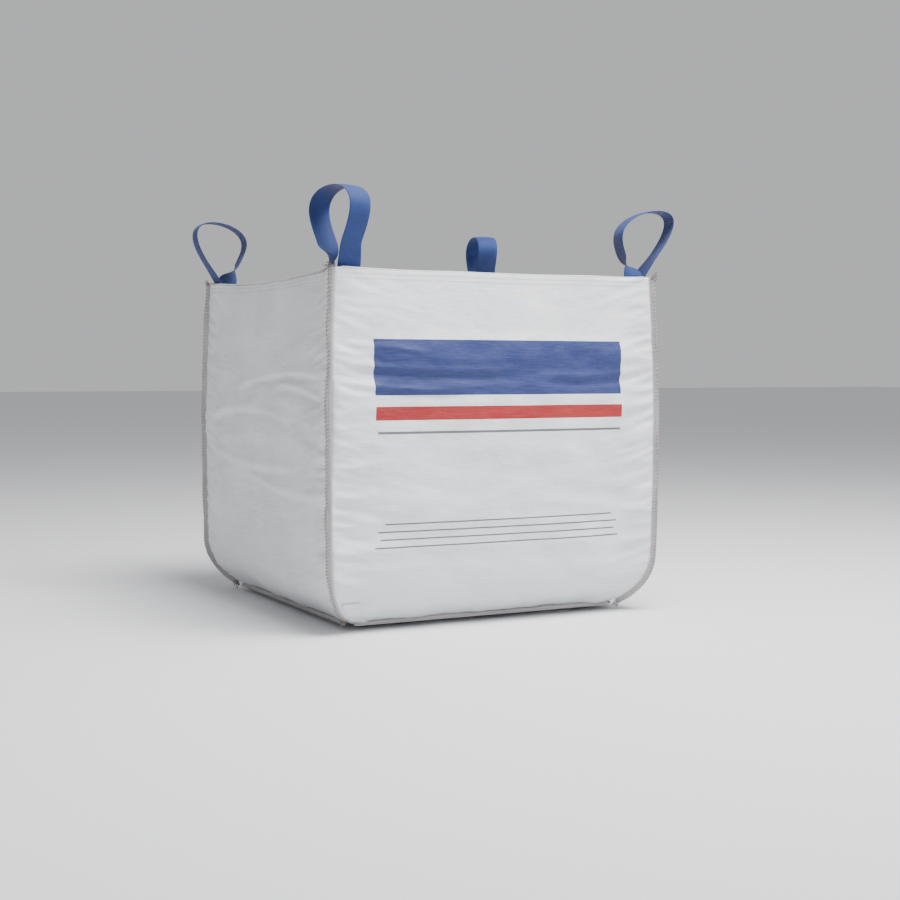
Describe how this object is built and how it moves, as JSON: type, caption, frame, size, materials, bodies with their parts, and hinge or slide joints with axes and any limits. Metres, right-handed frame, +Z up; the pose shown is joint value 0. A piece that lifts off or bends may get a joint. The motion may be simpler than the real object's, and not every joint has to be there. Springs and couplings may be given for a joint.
{
  "type": "bulk bag",
  "caption": "Filled woven-fabric bulk bag, open at the top, square in plan, with sewn corner seams and blue webbing lifting loops.",
  "frame": {"origin": "Centre of the flat base, on the surface that the bag stands on.", "axes": "+X along the front panel to the right, +Y from the front panel to the back panel, +Z up."},
  "size_m": [1.0208, 1.0289, 1.0753],
  "materials": {
    "woven_fabric": "white woven polypropylene tape, slightly glossy",
    "seam_fabric": "doubled white woven fabric with cut edges",
    "seam_thread": "dark brown multifilament sewing thread",
    "blue_webbing": "woven polypropylene lifting webbing",
    "sand": "damp loose building sand"
  },
  "bodies": {
    "bag": {"sand_fill": "sand", "base_panel": "woven_fabric", "front_panel": "woven_fabric", "front_top_hem": "woven_fabric", "front_hem_thread": "seam_thread", "front_base_seam": "seam_fabric", "right_panel": "woven_fabric", "right_top_hem": "woven_fabric", "right_hem_thread": "seam_thread", "right_base_seam": "seam_fabric", "back_panel": "woven_fabric", "back_top_hem": "woven_fabric", "back_hem_thread": "seam_thread", "back_base_seam": "seam_fabric", "left_panel": "woven_fabric", "left_top_hem": "woven_fabric", "left_hem_thread": "seam_thread", "left_base_seam": "seam_fabric", "front_right_seam": "seam_fabric", "front_right_seam_thread": "seam_thread", "front_right_loop_tail_front": "blue_webbing", "front_right_loop_foot_front": "blue_webbing", "front_right_loop_tail_right": "blue_webbing", "front_right_loop_foot_right": "blue_webbing", "back_right_seam": "seam_fabric", "back_right_seam_thread": "seam_thread", "back_right_loop_tail_right": "blue_webbing", "back_right_loop_foot_right": "blue_webbing", "back_right_loop_tail_back": "blue_webbing", "back_right_loop_foot_back": "blue_webbing", "back_left_seam": "seam_fabric", "back_left_seam_thread": "seam_thread", "back_left_loop_tail_back": "blue_webbing", "back_left_loop_foot_back": "blue_webbing", "back_left_loop_tail_left": "blue_webbing", "back_left_loop_foot_left": "blue_webbing", "front_left_seam": "seam_fabric", "front_left_seam_thread": "seam_thread", "front_left_loop_tail_left": "blue_webbing", "front_left_loop_foot_left": "blue_webbing", "front_left_loop_tail_front": "blue_webbing", "front_left_loop_foot_front": "blue_webbing"},
    "front_right_loop": {"front_right_lifting_loop": "blue_webbing"},
    "back_right_loop": {"back_right_lifting_loop": "blue_webbing"},
    "back_left_loop": {"back_left_lifting_loop": "blue_webbing"},
    "front_left_loop": {"front_left_lifting_loop": "blue_webbing"}
  },
  "joints": [
    {"name": "front_right_loop_tip", "type": "hinge", "parent": "bag", "child": "front_right_loop", "pos_m": [0.42338, -0.42338, 0.884], "axis": [0.7071, 0.7071, 0], "range_deg": [-55, 60], "deforming": ["front_right_loop_foot_front", "front_right_loop_foot_right"]},
    {"name": "back_right_loop_tip", "type": "hinge", "parent": "bag", "child": "back_right_loop", "pos_m": [0.42338, 0.42338, 0.884], "axis": [-0.7071, 0.7071, 0], "range_deg": [-55, 60], "deforming": ["back_right_loop_foot_right", "back_right_loop_foot_back"]},
    {"name": "back_left_loop_tip", "type": "hinge", "parent": "bag", "child": "back_left_loop", "pos_m": [-0.42338, 0.42338, 0.884], "axis": [-0.7071, -0.7071, 0], "range_deg": [-55, 60], "deforming": ["back_left_loop_foot_back", "back_left_loop_foot_left"]},
    {"name": "front_left_loop_tip", "type": "hinge", "parent": "bag", "child": "front_left_loop", "pos_m": [-0.42338, -0.42338, 0.884], "axis": [0.7071, -0.7071, 0], "range_deg": [-55, 60], "deforming": ["front_left_loop_foot_left", "front_left_loop_foot_front"]}
  ]
}
